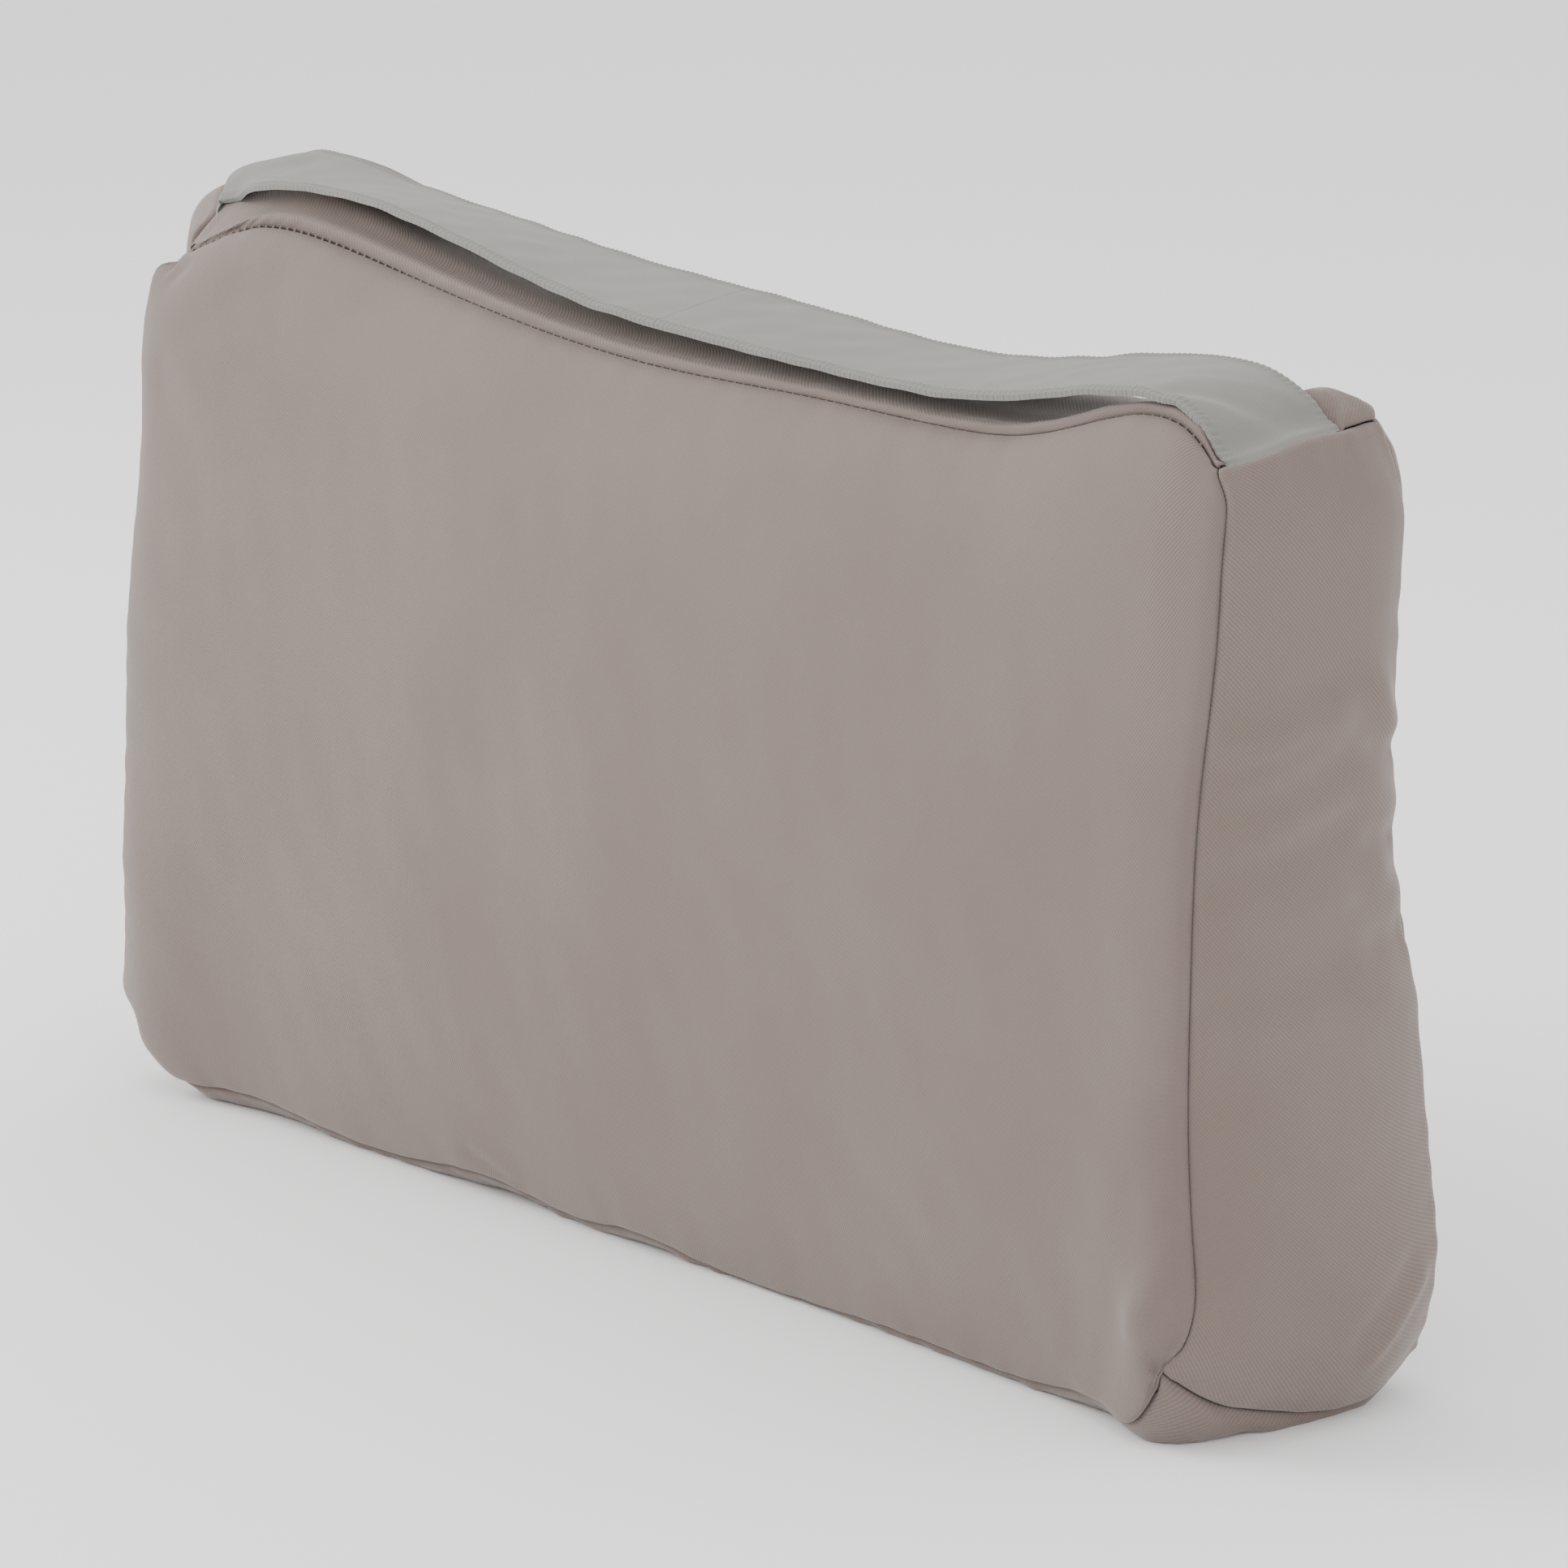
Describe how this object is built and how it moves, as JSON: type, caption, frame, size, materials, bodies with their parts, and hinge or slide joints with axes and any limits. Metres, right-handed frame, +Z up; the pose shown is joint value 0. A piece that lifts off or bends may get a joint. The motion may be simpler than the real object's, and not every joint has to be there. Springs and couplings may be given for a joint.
{
  "type": "lumbar support cushion",
  "caption": "Wedge-shaped lumbar support cushion in a boxed twill cover with a zipped back and a woven carrying strap along the top.",
  "frame": {"origin": "middle of the base, at the height of the surface that the cushion stands on", "axes": "+Z up, -Y out of the lumbar face, +X along the strap"},
  "size_m": [0.4182, 0.0903, 0.2485],
  "materials": {
    "cover_twill": "satin-faced diagonal twill, warm taupe grey",
    "strap_tape": "light grey woven tape with looped selvedges",
    "zip_tape": "plain woven tape",
    "zip_coil": "nylon coil",
    "zip_metal": "lacquered zinc",
    "liner_cloth": "thin white cloth",
    "fibre_wadding": "polyester fibre wadding",
    "foam": "open-cell foam"
  },
  "bodies": {
    "root": {"front_panel": "cover_twill", "back_panel_upper": "cover_twill", "back_panel_lower": "cover_twill", "top_gusset": "cover_twill", "bottom_gusset": "cover_twill", "left_gusset": "cover_twill", "right_gusset": "cover_twill", "liner_front": "liner_cloth", "liner_back": "liner_cloth", "liner_band": "liner_cloth", "wadding_front": "fibre_wadding", "wadding_back": "fibre_wadding", "foam_core": "foam", "strap_left_leg": "strap_tape", "strap_right_leg": "strap_tape", "zip_tape_upper": "zip_tape", "zip_tape_lower": "zip_tape", "zip_coil_upper": "zip_coil", "zip_coil_lower": "zip_coil", "zip_closed_stops": "zip_metal", "zip_open_stop": "zip_metal"},
    "strap": {"strap_grip": "strap_tape"},
    "slider": {"zip_slider": "zip_metal"},
    "pull": {"zip_pull": "zip_metal"}
  },
  "joints": [
    {"name": "strap_lift", "type": "slide", "parent": "root", "child": "strap", "axis": [0, 0, 1], "range_m": [0, 0.035], "deforming": ["strap_left_leg", "strap_right_leg"]},
    {"name": "zip_slide", "type": "slide", "parent": "root", "child": "slider", "axis": [-1, 0, 0], "range_m": [0, 0.364]},
    {"name": "pull_swing", "type": "hinge", "parent": "slider", "child": "pull", "pos_m": [0.182, 0.0309, 0.126], "axis": [0, 0, -1], "range_deg": [0, 170]}
  ]
}
